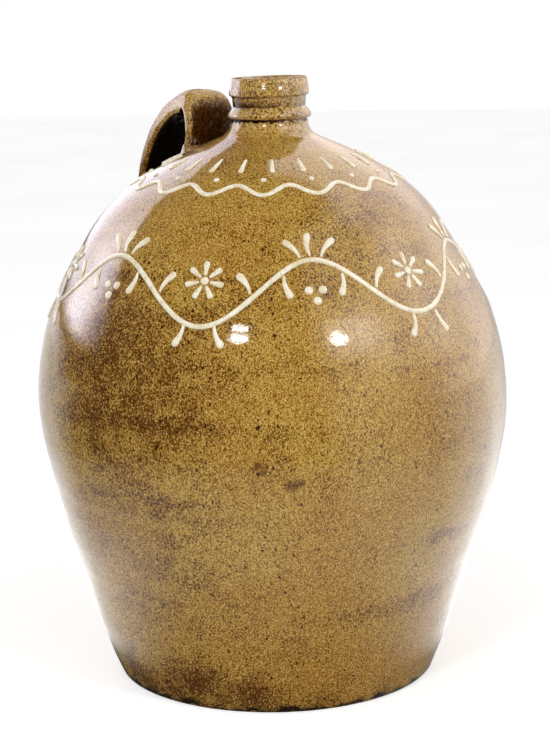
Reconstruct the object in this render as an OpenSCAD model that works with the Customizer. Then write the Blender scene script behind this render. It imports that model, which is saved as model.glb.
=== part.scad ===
// Large ovoid stoneware jug, thrown in two sections and luted together at the belly,
// with a double-ringed neck, a pulled strap handle on the shoulder and trailed slip.
// Millimetres. Z is up, the foot stands on Z = 0 about the Z axis, and the handle is towards -X.

/* [Jug] */
// Height from the foot to the rim
jug_h = 381; // [340:1:420]
// Diameter at the fullest part of the belly
belly_d = 300; // [280:1:320]
// Height of the fullest part of the belly
belly_h = 182; // [165:1:200]
// Diameter of the flat foot
foot_d = 203.4; // [185:0.1:220]

/* [Thrown walls] */
// Thickness of the thrown wall
wall = 8.5; // [6:0.5:11]
// Thickness of the floor
floor_t = 12; // [8:0.5:16]
// Radius inside, where the wall meets the floor
floor_round = 18; // [10:1:26]
// Bevel cut round the edge of the foot
foot_bevel = 2; // [1:0.5:4]
// Height at which the two thrown sections are luted together
seam_h = 165; // [130:1:200]
// Depth of the wedge that keys one section into the other
seam_key = 3.5; // [2:0.5:5]

/* [Neck] */
// Height of the neck above the shoulder
neck_h = 37.2; // [32:0.1:42]
// Diameter of the bore, which takes a cork
bore_d = 32; // [26:0.5:34]
// Depth of the straight bore below the lip
bore_depth = 37; // [30:0.5:40]
// Diameter at which the shoulder turns up into the neck
neck_root_d = 62; // [58:0.5:70]
// Diameter of the hole in the shoulder that the neck is luted into
neck_seat_d = 76; // [72:0.5:84]
// Diameter of the waist under the ridge
waist_d = 48; // [45:0.1:52]
// Diameter over the lower ridge
ridge_d = 52.4; // [49:0.1:58]
// Depth of the ridge below the rim
ridge_drop = 23.6; // [20:0.1:25]
// Radius of the ridge's rounded nose
ridge_nose = 2.4; // [1.6:0.1:3]
// Diameter of the groove between the ridge and the collar
groove_d = 45.4; // [42:0.1:48]
// Depth of the bottom of the groove below the rim
groove_drop = 16.8; // [14.5:0.1:18]
// Diameter over the collar, near its lower edge
collar_d = 50.2; // [47:0.1:56]
// Height of the collar
collar_h = 12.1; // [9:0.1:13]
// Diameter over the lip
lip_d = 47.6; // [44:0.1:54]
// Radius of the lip's rounded edges
lip_round = 2.2; // [1:0.1:3]

/* [Handle] */
// Width of the strap at its inner foot, by the neck
strap_inner_w = 38; // [30:0.5:44]
// Width of the strap over the arch
strap_arch_w = 40; // [32:0.5:46]
// Width of the strap at its outer foot
strap_outer_w = 36; // [28:0.5:42]
// Thickness of the strap
strap_t = 8.8; // [6:0.1:11]
// Distance from the jug's axis to the middle of the inner foot
inner_foot_x = 60.5; // [56:0.5:66]
// Distance from the jug's axis to the middle of the outer foot
outer_foot_x = 111; // [104:0.5:118]
// Height of the arch's crown above the shoulder
arch_rise = 28; // [22:0.5:34]
// Reach of the clay pressed round each foot, along the shoulder
wad_reach = 4.5; // [3:0.5:7]
// Bed of slip between the handle's clay and the shoulder
luting = 0.2; // [0.2:0.05:0.4]

/* [Trailed slip] */
// Width of the main trails
trail_w = 3.2; // [2.4:0.1:4]
// Height of a trail above the glaze
trail_h = 1.3; // [0.8:0.1:1.8]
// Film of glaze between the slip and the wall
slip_film = 0.05; // [0.05:0.05:0.2]
// Slant distance from the middle of the handle's outer foot down to the running vine's middle
vine_below = 29; // [27:1:36]
// Height of the vine's waves, from the middle to a crest
vine_swing = 19; // [14:1:22]
// Number of waves in the vine
vine_waves = 6; // [4:2:8]
// Length of a leaf
leaf_l = 17; // [12:0.5:19]
// Width of a leaf at its fullest
leaf_w = 5.4; // [3.6:0.1:6.5]
// Number of petals on a daisy
petals = 7; // [5:1:8]
// Length of a petal
petal_l = 9; // [7:0.5:10]
// Diameter of the dots
dot_d = 5.4; // [4:0.1:6]
// Slant distance from the middle of the handle's inner foot down to the plain wave's middle
ripple_below = 25.6; // [24:0.2:27]
// Height of the plain wave, from the middle to a crest
ripple_swing = 4.5; // [3:0.5:5]
// Number of crests on the plain wave
ripples = 16; // [12:2:20]
// Number of rays round the neck
rays = 22; // [16:2:24]
// Length of a ray
ray_l = 15; // [10:0.5:18]

/* [Hidden] */
$fn = 96;

glaze = "#9a7b3c";
dark_glaze = "#6e4f2c";
slip = "#e9dcb4";

foot_r = foot_d / 2;
belly_r = belly_d / 2;
bore_r = bore_d / 2;
root_r = neck_root_d / 2;
seat_r = neck_seat_d / 2;
shoulder_h = jug_h - neck_h;
rise = shoulder_h - belly_h;

// The wall's drawing: each pair is a share of the way from the foot out to the belly, or from the
// neck's root out to the belly, and a share of the height of the lower or the upper half.
lower_shares = [[0, 0], [0.235, 0.15], [0.535, 0.417], [0.733, 0.595], [1.005, 0.874]];
upper_shares = [
    [1.006, 0.058], [0.941, 0.328], [0.761, 0.55], [0.602, 0.754], [0.306, 0.907], [0, 1]
];
wall_controls = concat(
    [for (s = lower_shares) [foot_r + s[0] * (belly_r - foot_r), s[1] * belly_h]],
    [for (s = upper_shares) [root_r + s[0] * (belly_r - root_r), belly_h + s[1] * rise]]
);

// Smooth curve through a list of control points, with its ends on the first and the last one
function blend(q, t) =
    (pow(1 - t, 3) * q[0] + (3 * pow(t, 3) - 6 * t * t + 4) * q[1]
    + (3 * t + 3 * t * t - 3 * pow(t, 3) + 1) * q[2] + pow(t, 3) * q[3]) / 6;
function run_out(p) =
    let (m = len(p) - 1)
    concat([2 * p[0] - p[1]], p, [2 * p[m] - p[m - 1]]);
function curve(p, steps) =
    let (q = run_out(p), spans = len(q) - 3)
    concat(
        [for (i = [0 : spans - 1]) for (k = [0 : steps - 1])
            blend([q[i], q[i + 1], q[i + 2], q[i + 3]], k / steps)],
        [p[len(p) - 1]]
    );
function unit(v) = v / norm(v);
function turned(v) = [v[1], -v[0]];
function tangent(p, i) = unit(p[min(i + 1, len(p) - 1)] - p[max(i - 1, 0)]);
function arc(c, r, from, to, n) =
    [for (i = [0 : n]) let (a = from + (to - from) * i / n) c + r * [cos(a), sin(a)]];
function bend(a, b, c, n) =
    [for (i = [0 : n]) let (t = i / n) pow(1 - t, 2) * a + 2 * t * (1 - t) * b + t * t * c];

// Outside and inside of the thrown wall, from the foot to the neck's root, as [radius, height]
wall_steps = 3;
outside = curve(wall_controls, wall_steps);
outward = [for (i = [0 : len(outside) - 1]) turned(tangent(outside, i))];
inside = [for (i = [0 : len(outside) - 1]) outside[i] - wall * outward[i]];
outside_by_h = [for (p = outside) [p[1], p[0]]];
inside_by_h = [for (p = inside) [p[1], p[0]]];
dome_by_r = [for (p = outside) if (p[1] > belly_h) p];
function outside_r(h) = lookup(h, outside_by_h);
function inside_r(h) = lookup(h, inside_by_h);
function dome_h(r) = lookup(r, dome_by_r);

// Seam of the neck, square across the wall
seat_out = [seat_r, dome_h(seat_r)];
root_run = outside[len(outside) - 1] - outside[len(outside) - 2];
root_slope = atan2(root_run[1], -root_run[0]);
seat_at = min([for (i = [0 : len(outside) - 1]) if (outside[i][1] > seat_out[1]) i]);
seat_in = seat_out - wall * unit(outward[seat_at - 1] + outward[seat_at]);

// Seam of the two sections, a wedge pressed into a groove
seam_outer = [outside_r(seam_h), seam_h];
seam_inner = [inside_r(seam_h), seam_h];
seam_mid = (seam_outer + seam_inner) / 2 - [0, seam_key];

module turn(points) {
    rotate_extrude() polygon(points);
}

module lower_body() {
    corner_h = floor_t + floor_round;
    floor_edge = inside_r(floor_t);
    climb = [for (p = outside) if (p[1] > foot_bevel && p[1] < seam_h) p];
    drop = [for (i = [len(inside) - 1 : -1 : 0])
        if (inside[i][1] > corner_h && inside[i][1] < seam_h) inside[i]];
    corner = bend(
        [inside_r(corner_h), corner_h], [floor_edge, floor_t], [floor_edge - floor_round, floor_t], 5
    );
    color(glaze)
        turn(concat(
            [[0, 0], [foot_r - foot_bevel, 0], [outside_r(foot_bevel), foot_bevel]],
            climb, [seam_outer, seam_mid, seam_inner], drop, corner, [[0, floor_t]]
        ));
}

module upper_body() {
    climb = [for (p = outside) if (p[1] > seam_h && p[1] < seat_out[1]) p];
    drop = [for (i = [len(inside) - 1 : -1 : 0])
        if (inside[i][1] > seam_h && inside[i][1] < seat_in[1]) inside[i]];
    color(glaze)
        turn(concat([seam_outer], climb, [seat_out, seat_in], drop, [seam_inner, seam_mid]));
}

// The neck is drawn from its seat up the outside to the lip and back down the bore.
module neck() {
    waist_r = waist_d / 2;
    flare = (root_r - waist_r) / (1 - sin(root_slope));
    flare_mid = [waist_r + flare, shoulder_h + flare * cos(root_slope)];
    nose_mid = [ridge_d / 2 - ridge_nose, jug_h - ridge_drop];
    notch = ridge_nose / 4;
    groove = [groove_d / 2, jug_h - groove_drop];
    ledge_h = jug_h - collar_h;
    collar_r = collar_d / 2;
    collar_edge = collar_h / 10;
    lip_r = lip_d / 2;
    sill = [for (p = outside) if (p[1] > seat_out[1] && p[0] > root_r) p];
    skirt = arc(flare_mid, flare, 270 - root_slope, 180, 6);
    under_ridge = [[waist_r - notch, nose_mid[1] - ridge_nose]];
    nose = arc(nose_mid, ridge_nose, -65, 40, 5);
    hollow = bend(nose[len(nose) - 1], [groove[0], (nose_mid[1] + groove[1]) / 2], groove, 4);
    ledge = [
        [groove[0], ledge_h - collar_edge / 2], [groove[0] + collar_edge / 2, ledge_h],
        [collar_r - collar_edge, ledge_h], [collar_r, ledge_h + 2 * collar_edge]
    ];
    lip_out = arc([lip_r - lip_round, jug_h - lip_round], lip_round, 12, 90, 4);
    lip_in = arc([bore_r + lip_round, jug_h - lip_round], lip_round, 90, 180, 4);
    throat = bend([bore_r, jug_h - bore_depth], [bore_r, seat_in[1]], seat_in, 4);
    color(glaze)
        turn(concat([seat_out], sill, skirt, under_ridge, nose, hollow, ledge, lip_out, lip_in, throat));
}

// The handle's centre line in its own plane, as [distance from the axis, height]. Each share pair
// is a share of the way from the inner to the outer foot, and a share of the climb to the crown.
crown_h = shoulder_h + arch_rise - strap_t / 2;
inner_leg_shares = [[0, 0], [-0.11, 0.42], [-0.09, 0.9], [0.06, 1.065]];
outer_leg_shares = [[0.42, 0.95], [0.735, 0.7], [0.915, 0.39], [1, 0]];
foot_span = outer_foot_x - inner_foot_x;
inner_foot_h = dome_h(inner_foot_x);
outer_foot_h = dome_h(outer_foot_x);
strap_line = curve(concat(
    [for (s = inner_leg_shares)
        [inner_foot_x + s[0] * foot_span, inner_foot_h + s[1] * (crown_h - inner_foot_h)]],
    [for (s = outer_leg_shares)
        [inner_foot_x + s[0] * foot_span, outer_foot_h + s[1] * (crown_h - outer_foot_h)]]
), 5);
strap_last = len(strap_line) - 1;

// The strap's cross-section is a flattened oval, softer at its edges than a rectangle.
strap_sides = 24;
strap_square = 2.6;
function soft(v) = sign(v) * pow(abs(v), 2 / strap_square);
function strap_w(i) =
    let (t = i / strap_last)
    strap_inner_w * (1 - t) * (1 - 2 * t) + 4 * t * (1 - t) * strap_arch_w
    + strap_outer_w * t * (2 * t - 1);
function strap_ring(i, grow) =
    let (c = strap_line[i], n = turned(tangent(strap_line, i)))
    [for (k = [0 : strap_sides - 1]) let (
        a = 360 * k / strap_sides,
        across = soft(cos(a)) * (strap_w(i) / 2 + grow),
        through = soft(sin(a)) * (strap_t / 2 + grow)
    ) [-(c[0] + through * n[0]), across, c[1] + through * n[1]]];

// A point slid along a direction until it lies on the shoulder
function above(p) = p[2] - dome_h(norm([p[0], p[1]])) - luting;
function settle(p, d, lo, hi, n) =
    let (mid = (lo + hi) / 2)
    n == 0 ? p + mid * d
    : above(p + mid * d) > 0 ? settle(p, d, mid, hi, n - 1) : settle(p, d, lo, mid, n - 1);
function settled(ring, d) = [for (p = ring) settle(p, d, -4 * strap_t, 4 * strap_t, 16)];
function clear_of(ring) = min([for (p = ring) above(p)]) > strap_t / 3;
function line_3d(i) = [-strap_line[i][0], 0, strap_line[i][1]];
inner_dig = unit(line_3d(0) - line_3d(1));
outer_dig = unit(line_3d(strap_last) - line_3d(strap_last - 1));
free_rings = [for (i = [0 : strap_last]) if (clear_of(strap_ring(i, 0))) i];
inner_free = free_rings[0];
outer_free = free_rings[len(free_rings) - 1];
inner_foot = settled(strap_ring(0, 0), inner_dig);
outer_foot = settled(strap_ring(strap_last, 0), outer_dig);

// Closed skin over a stack of rings with equal counts; a loop joins its last ring to its first.
function skin(rings, loop) =
    let (n = len(rings[0]), m = len(rings), last = loop ? m - 1 : m - 2)
    [for (i = [0 : last]) for (k = [0 : n - 1]) let (
        a = i * n + k, b = i * n + (k + 1) % n,
        c = ((i + 1) % m) * n + (k + 1) % n, d = ((i + 1) % m) * n + k
    ) each [[a, b, c], [a, c, d]]];
function mean(ring) = [for (p = ring) 1] * ring / len(ring);
function flat_list(rings) = [for (ring = rings) each ring];
function fan(n, start, hub, flip) =
    [for (k = [0 : n - 1]) let (a = start + k, b = start + (k + 1) % n)
        flip ? [hub, b, a] : [hub, a, b]];

// A skin closed at both ends on a middle point
module sweep(rings, first_mid, last_mid) {
    n = len(rings[0]);
    count = n * len(rings);
    polyhedron(
        concat(flat_list(rings), [first_mid, last_mid]),
        concat(
            skin(rings, false), fan(n, 0, count, true), fan(n, count - n, count + 1, false)
        )
    );
}

module band(rings) {
    polyhedron(flat_list(rings), skin(rings, true));
}

// The sole of a foot follows the shoulder: rings that shrink towards its middle
sole_shares = [0.3, 0.65];
function sole(at, dig) =
    let (edge = strap_ring(at, 0), mid = line_3d(at))
    [for (share = sole_shares) settled([for (p = edge) mid + share * (p - mid)], dig)];

module handle() {
    inner_sole = sole(0, inner_dig);
    outer_sole = sole(strap_last, outer_dig);
    color(glaze)
        sweep(
            concat(
                inner_sole, [inner_foot], [for (i = free_rings) strap_ring(i, 0)], [outer_foot],
                [outer_sole[1], outer_sole[0]]
            ),
            mean(inner_sole[0]), mean(outer_sole[0])
        );
}

// Clay pressed round a foot: a hollow fillet between the strap and the shoulder
module wad(at, foot, free, dig) {
    lean_share = 0.8;
    waist_share = 0.3;
    top = [for (k = [0 : strap_sides - 1]) foot[k] + lean_share * (free[k] - foot[k])];
    middle = settled(strap_ring(at, wad_reach * waist_share), dig);
    brim = settled(strap_ring(at, wad_reach), dig);
    raised = [for (k = [0 : strap_sides - 1])
        middle[k] + waist_share * (top[k] - foot[k])];
    color(dark_glaze)
        band([foot, brim, raised, top]);
}

module inner_foot_wad() {
    wad(0, inner_foot, strap_ring(inner_free, 0), inner_dig);
}

module outer_foot_wad() {
    wad(strap_last, outer_foot, strap_ring(outer_free, 0), outer_dig);
}

// Slip is drawn on the wall unrolled: x runs round the jug and y up the slope, both in millimetres
// from a point that a bearing and a slant distance from the neck's root give.
top_down = [for (i = [len(outside) - 1 : -1 : 0]) outside[i]];
function steps_down(i) = i == 0 ? 0 : steps_down(i - 1) + norm(top_down[i] - top_down[i - 1]);
down = [for (i = [0 : len(top_down) - 1]) steps_down(i)];
down_by_r = [for (i = [0 : len(down) - 1]) if (top_down[i][1] > belly_h) [top_down[i][0], down[i]]];
down_r = [for (i = [0 : len(down) - 1]) [down[i], top_down[i][0]]];
down_h = [for (i = [0 : len(down) - 1]) [down[i], top_down[i][1]]];
function on_wall(x, y, bearing, slant, lift) =
    let (
        s = slant - y, r = lookup(s, down_r), h = lookup(s, down_h),
        back = [lookup(s - trail_w, down_r), lookup(s - trail_w, down_h)],
        ahead = [lookup(s + trail_w, down_r), lookup(s + trail_w, down_h)],
        n = turned(unit(back - ahead)), a = bearing + x / r * 180 / PI
    ) [(r + lift * n[0]) * cos(a), (r + lift * n[0]) * sin(a), h + lift * n[1]];

// A trail's cross-section: shares of its width and of its height, from one edge over the top
trail_shares = [[-0.5, 0], [-0.33, 0.75], [0, 1], [0.33, 0.75], [0.5, 0]];
function trail_ring(p, dir, w, h, bearing, slant) =
    [for (s = trail_shares) on_wall(
        p[0] - dir[1] * s[0] * w, p[1] + dir[0] * s[0] * w, bearing, slant,
        slip_film + h * s[1]
    )];

// One squeeze of the slip cup: a curved stroke that swells from its tail to its head
function stroke_at(p, t) =
    pow(1 - t, 2) * p[0] + 2 * t * (1 - t) * p[1] + t * t * p[2];
module stroke(p, tail_w, head_w, bearing, slant) {
    steps = 7;
    end_share = 0.3;
    rings = [for (i = [0 : steps]) let (
        t = (1 - cos(180 * i / steps)) / 2,
        dir = unit(stroke_at(p, min(1, t + 0.02)) - stroke_at(p, max(0, t - 0.02))),
        round_end = (i == 0 || i == steps) ? end_share : 1,
        w = (tail_w + (head_w - tail_w) * t) * round_end,
        h = min(trail_h, w / 2)
    ) trail_ring(stroke_at(p, t), dir, w, h, bearing, slant)];
    sweep(rings, mean(rings[0]), mean(rings[steps]));
}

// A dome of slip, flat underneath
module dot(d, x, y, bearing, slant) {
    r = d / 2;
    foot = on_wall(x, y, bearing, slant, slip_film);
    lean = on_wall(x, y, bearing, slant, 1) - on_wall(x, y, bearing, slant, 0);
    rim = [for (p = arc([0, 0], 1, 0, 90, 4)) [r * p[0], trail_h * p[1]]];
    translate(foot)
        rotate([0, acos(lean[2]), atan2(lean[1], lean[0])])
            turn(concat([[0, 0]], rim));
}

// A closed wave round the jug
module wave(bearing, slant, swing, count, steps) {
    total = count * steps;
    mid_r = lookup(slant, down_r);
    step_x = 2 * PI * mid_r / total;
    band([for (i = [0 : total - 1]) let (
        a = 360 * i / steps,
        rise_x = swing * (cos(a - 360 / steps) - cos(a + 360 / steps)) / 2,
        dir = unit([step_x, rise_x])
    ) trail_ring([0, -swing * cos(a)], dir, trail_w, trail_h, bearing + 360 * i / total, slant)]);
}

handle_bearing = 180;
ripple_down = lookup(inner_foot_x, down_by_r) + ripple_below;
vine_down = lookup(outer_foot_x, down_by_r) + vine_below;

module shoulder_wave() {
    color(slip)
        wave(handle_bearing, ripple_down, ripple_swing, ripples, 8);
}

module wave_dots() {
    color(slip)
        for (k = [0 : ripples - 1])
            dot(dot_d * 0.7, 0, ripple_swing + dot_d, handle_bearing + 360 * k / ripples, ripple_down);
}

// Rays stand round the neck, but not where the handle's inner foot and its clay are.
module neck_rays() {
    foot_angle = atan2(strap_inner_w / 2 + wad_reach + trail_w, inner_foot_x - strap_t);
    ray_down = ripple_down - ripple_swing - 2.4 * dot_d;
    color(slip)
        for (k = [0 : rays - 1])
            let (turn_by = 360 * (k + 0.5) / rays)
                if (min(turn_by, 360 - turn_by) > foot_angle)
                    stroke(
                        [[0, ray_l], [0, ray_l / 2], [0, 0]], trail_w * 0.6, trail_w * 1.2,
                        handle_bearing + turn_by, ray_down
                    );
}

module vine_stem() {
    color(slip)
        wave(handle_bearing, vine_down, vine_swing, vine_waves, 16);
}

// Place of a point on the vine: its bearing, and its height above the vine's middle
function vine_bearing(share) = handle_bearing + 360 * share / vine_waves;
function vine_y(share) = -vine_swing * cos(360 * share);

// Leaves along each wave, as [share of the wave, angle to the level]: two hang from the trough,
// two flank the daisy, two hang inside the crest and three stand on it as a bud.
leaf_shares = [
    [0.06, -68], [0.22, 122], [0.36, -76], [0.46, 130], [0.5, 90], [0.54, 50], [0.64, -104],
    [0.78, 58], [0.94, -112]
];
module vine_leaves() {
    gap = trail_w * 0.75;
    color(slip)
        for (k = [0 : vine_waves - 1])
            for (leaf = leaf_shares)
                let (
                    a = leaf[1], way = [cos(a), sin(a)], side = turned(way),
                    bow = leaf_l / 6 * sign(0.5 - leaf[0]), root = [0, vine_y(leaf[0])]
                )
                    stroke(
                        [root + way * gap, root + way * leaf_l / 2 + side * bow, root + way * leaf_l],
                        trail_w * 0.5, leaf_w, vine_bearing(k + leaf[0]), vine_down
                    );
}

// A daisy in every upper hollow of the vine, except under the handle's outer foot
daisy_lift = vine_swing * 0.35;
module vine_daisies() {
    heart = dot_d * 0.62;
    color(slip)
        for (k = [1 : vine_waves - 1]) {
            dot(dot_d, 0, daisy_lift, vine_bearing(k), vine_down);
            for (j = [0 : petals - 1])
                let (a = 90 + 360 * j / petals, way = [cos(a), sin(a)])
                    stroke(
                        [[0, daisy_lift] + way * heart, [0, daisy_lift] + way * (heart + petal_l / 2),
                            [0, daisy_lift] + way * (heart + petal_l)],
                        trail_w * 0.6, trail_w * 1.5, vine_bearing(k), vine_down
                    );
        }
}

// Three berries hang in every lower hollow of the vine
module vine_berries() {
    spread = dot_d * 0.8;
    color(slip)
        for (k = [0 : vine_waves - 1])
            for (place = [[-spread, 0], [spread, 0], [0, -spread * 1.6]])
                dot(dot_d, place[0], place[1], vine_bearing(k + 0.5), vine_down);
}

lower_body();
upper_body();
neck();
handle();
inner_foot_wad();
outer_foot_wad();
neck_rays();
shoulder_wave();
wave_dots();
vine_stem();
vine_leaves();
vine_daisies();
vine_berries();
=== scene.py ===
"""A large stoneware jug: two thrown sections, a ringed neck, a pulled strap and trailed slip, under a
speckled glaze, in a white studio. Metres; the foot stands on z = 0 and the handle is towards -x."""
from bisect import bisect
from math import atan2, cos, degrees, exp, hypot, pi, radians, sin, sqrt, tau

import bmesh
import bpy
from mathutils import Matrix, Vector, noise


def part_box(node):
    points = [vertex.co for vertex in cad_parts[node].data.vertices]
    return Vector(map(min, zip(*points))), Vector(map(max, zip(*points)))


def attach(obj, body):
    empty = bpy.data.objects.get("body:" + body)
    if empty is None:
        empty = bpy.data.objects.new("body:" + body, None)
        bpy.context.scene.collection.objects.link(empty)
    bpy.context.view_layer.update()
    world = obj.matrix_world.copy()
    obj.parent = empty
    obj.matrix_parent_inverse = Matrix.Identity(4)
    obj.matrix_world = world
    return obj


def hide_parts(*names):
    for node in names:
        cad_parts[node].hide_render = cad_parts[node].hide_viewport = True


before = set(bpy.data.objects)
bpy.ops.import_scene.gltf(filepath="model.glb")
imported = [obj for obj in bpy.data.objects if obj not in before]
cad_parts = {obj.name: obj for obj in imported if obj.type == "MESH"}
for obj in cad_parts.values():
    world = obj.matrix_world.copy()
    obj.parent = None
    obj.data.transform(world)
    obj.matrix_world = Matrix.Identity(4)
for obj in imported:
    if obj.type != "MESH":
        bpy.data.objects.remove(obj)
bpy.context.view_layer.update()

MM = 0.001

# Sizes of the jug
JUG_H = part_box("neck")[1][2]
BELLY_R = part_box("upper_body")[1][1]
BELLY_H = 182 * MM
FOOT_R = 101.7 * MM
FOOT_BEVEL = 2 * MM
WALL = 8.5 * MM
FLOOR_T = 12 * MM
FLOOR_ROUND = 18 * MM
SEAM_H = 165 * MM
SEAM_KEY = 3.5 * MM

# Sizes of the neck
SHOULDER_H = JUG_H - 37.2 * MM
ROOT_R = 31 * MM
SEAT_R = 38 * MM
WAIST_R = 24.3 * MM
RIDGE_R = 26.4 * MM
RIDGE_DROP = 23.6 * MM
RIDGE_NOSE = 2.4 * MM
GROOVE_R = 22.9 * MM
GROOVE_DROP = 17.8 * MM
COLLAR_R = 25.2 * MM
COLLAR_H = 11.4 * MM
LIP_R = 24.1 * MM
LIP_ROUND = 1.7 * MM
BORE_R = 16 * MM
BORE_DEPTH = 37 * MM

# Sizes of the strap
STRAP_INNER_W = 38 * MM
STRAP_ARCH_W = 41 * MM
STRAP_OUTER_W = 37 * MM
STRAP_T = 8.8 * MM
INNER_FOOT_X = 60.5 * MM
OUTER_FOOT_X = 111 * MM
ARCH_RISE = 28 * MM
WAD_REACH = 4.5 * MM

# Sizes of the slip
TRAIL_W = 3.2 * MM
TRAIL_H = 1.1 * MM
VINE_BELOW = 29 * MM
VINE_SWING = 19 * MM
VINE_WAVES = 6
LEAF_L = 17 * MM
LEAF_W = 5.2 * MM
PETALS = 7
PETAL_L = 9 * MM
DOT_D = 5.2 * MM
RIPPLE_BELOW = 25.6 * MM
RIPPLE_SWING = 4.5 * MM
RIPPLES = 16
RAYS = 22
RAY_L = 15 * MM

# Studio, with bearings in degrees round the jug from +x
HANDLE_BEARING = 180
CAMERA_BEARING = 317.4
CAMERA_AWAY = 1.246
CAMERA_H = 0.4327
CAMERA_PITCH = radians(10.79)
CAMERA_ROLL = radians(1.155)
CAMERA_FOCUS_PX = 1975
PHOTO_W_PX, PHOTO_H_PX = 550, 736
AXIS_X_PX = 271.76
SENSOR = 36


def towards(bearing, height=0.0):
    """A direction from its bearing and its elevation, both in degrees."""
    a, e = radians(bearing), radians(height)
    return Vector((cos(a) * cos(e), sin(a) * cos(e), sin(e)))


VIEW_RIGHT = towards(CAMERA_BEARING + 90)


def between(value, places, results):
    """The result at a value, in straight runs through the places given in rising order."""
    i = bisect(places, value)
    if i == 0 or i == len(places):
        return results[min(i, len(places) - 1)]
    share = (value - places[i - 1]) / (places[i] - places[i - 1])
    return results[i - 1] + (results[i] - results[i - 1]) * share


def smooth_run(controls, steps):
    """Points along a cubic B-spline that starts on its first control and ends on its last."""
    p = [Vector(c) for c in controls]
    q = [2 * p[0] - p[1], *p, 2 * p[-1] - p[-2]]
    run = []
    for a, b, c, d in zip(q, q[1:], q[2:], q[3:]):
        for k in range(steps):
            t = k / steps
            mid = (3 * t ** 3 - 6 * t * t + 4) * b + (3 * t + 3 * t * t - 3 * t ** 3 + 1) * c
            run.append(((1 - t) ** 3 * a + mid + t ** 3 * d) / 6)
    return run + [p[-1]]


def arc(middle, radius, start, end, steps):
    """Points of a round stretch, from one angle to another in degrees."""
    turns = [radians(start + (end - start) * k / steps) for k in range(steps + 1)]
    return [Vector(middle) + radius * Vector((cos(a), sin(a))) for a in turns]


def bend_point(a, b, c, share):
    """The point at a share of a curve from a to c that leaves and arrives in line with b."""
    rest = 1 - share
    return rest ** 2 * a + 2 * share * rest * b + share * share * c


def bend(a, b, c, steps):
    """Points of a curve from a to c that leaves and arrives in line with b."""
    a, b, c = Vector(a), Vector(b), Vector(c)
    return [bend_point(a, b, c, k / steps) for k in range(steps + 1)]


# The wall's drawing as shares of the way out to the belly and up the lower or the upper half
LOWER_SHARES = [(0, 0), (0.235, 0.15), (0.535, 0.417), (0.733, 0.595), (1.005, 0.874)]
UPPER_SHARES = [(1.006, 0.058), (0.941, 0.328), (0.761, 0.55), (0.602, 0.754), (0.306, 0.907), (0, 1)]
WALL_CONTROLS = [(FOOT_R + a * (BELLY_R - FOOT_R), b * BELLY_H) for a, b in LOWER_SHARES] + [
    (ROOT_R + a * (BELLY_R - ROOT_R), BELLY_H + b * (SHOULDER_H - BELLY_H)) for a, b in UPPER_SHARES
]
OUTSIDE = smooth_run(WALL_CONTROLS, 20)


def slope_at(run, i):
    """The direction of a run of points at one of them."""
    return (run[min(i + 1, len(run) - 1)] - run[max(i - 1, 0)]).normalized()


OUTWARD = [Vector((d.y, -d.x)) for d in (slope_at(OUTSIDE, i) for i in range(len(OUTSIDE)))]
INSIDE = [p - WALL * n for p, n in zip(OUTSIDE, OUTWARD)]


def radius_at(run, height):
    """The radius of a wall's outside or inside at a height."""
    return between(height, [p.y for p in run], [p.x for p in run])


def dome_at(radius):
    """The height of the shoulder at a distance from the axis."""
    dome = [p for p in reversed(OUTSIDE) if p.y > BELLY_H]
    return between(radius, [p.x for p in dome], [p.y for p in dome])


# Marks of the throwing: rings and slow swellings, in grains to the metre along each axis
RING_GRAIN = Vector((4, 4, 150))
RING_DEPTH = 0.16 * MM
SWELL_GRAIN = Vector((11, 11, 14))
SWELL_SHIFT = Vector((3, 1, 7))
SWELL_DEPTH = 0.5 * MM
SWELL_LEVEL = 0.6
NEAR_AXIS = 1 * MM
# How far the hand-thrown jug strays to the camera's right, by height
LEAN_HEIGHTS = [h * MM for h in (0, 45, 125, 190, 285, 330, 355, 380)]
LEANS = [s * MM for s in (0, -0.6, 1.1, 0, -1.4, 0.9, 1.7, 1.7)]
RIM_DROP = 1 * MM
# Dents and swellings as bearing, height, reach and depth inwards
DENTS = [
    (CAMERA_BEARING - 88, 170 * MM, 13 * MM, 1.1 * MM),
    (CAMERA_BEARING + 86, 238 * MM, 9 * MM, -0.5 * MM),
    (CAMERA_BEARING + 88, 206 * MM, 7 * MM, -0.3 * MM),
    (CAMERA_BEARING - 8, 156 * MM, 4 * MM, 0.7 * MM),
    (CAMERA_BEARING + 6, 146 * MM, 3.5 * MM, 0.6 * MM),
    (CAMERA_BEARING + 150, 120 * MM, 30 * MM, 0.8 * MM),
    (CAMERA_BEARING - 140, 210 * MM, 26 * MM, 0.6 * MM),
]


def stray(p):
    """Where a point of the round jug lies on the real one, which leans and has a sloping rim."""
    sideways = VIEW_RIGHT * between(p.z, LEAN_HEIGHTS, LEANS)
    rim = max(0.0, (p.z - SHOULDER_H) / (JUG_H - SHOULDER_H)) if hypot(p.x, p.y) < SEAT_R else 0.0
    lower = RIM_DROP * rim * (0.5 - 0.5 * VIEW_RIGHT.dot(p) / COLLAR_R)
    return p + sideways - Vector((0, 0, max(0.0, lower)))


def thrown(p):
    """A point of the wall with its throwing rings, dents, slight unevenness and lean."""
    r = hypot(p.x, p.y)
    if r < NEAR_AXIS:
        return stray(p)
    rings = noise.noise(p * RING_GRAIN)
    swell = noise.noise(p * SWELL_GRAIN + SWELL_SHIFT)
    inward = RING_DEPTH * (1 - rings) + SWELL_DEPTH * (SWELL_LEVEL - swell)
    for bearing, height, reach, depth in DENTS:
        spot = towards(bearing) * r
        away = hypot((Vector((p.x, p.y, 0)) - spot).length, p.z - height)
        inward += depth * exp(-((away / reach) ** 2))
    return stray(p - inward * min(1.0, r / FOOT_R) * Vector((p.x / r, p.y / r, 0)))


# How close points are welded into one, in a turned shape and in a swept skin
TURNED_WELD = 0.01 * MM
SWEPT_WELD = 0.0005 * MM


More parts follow.
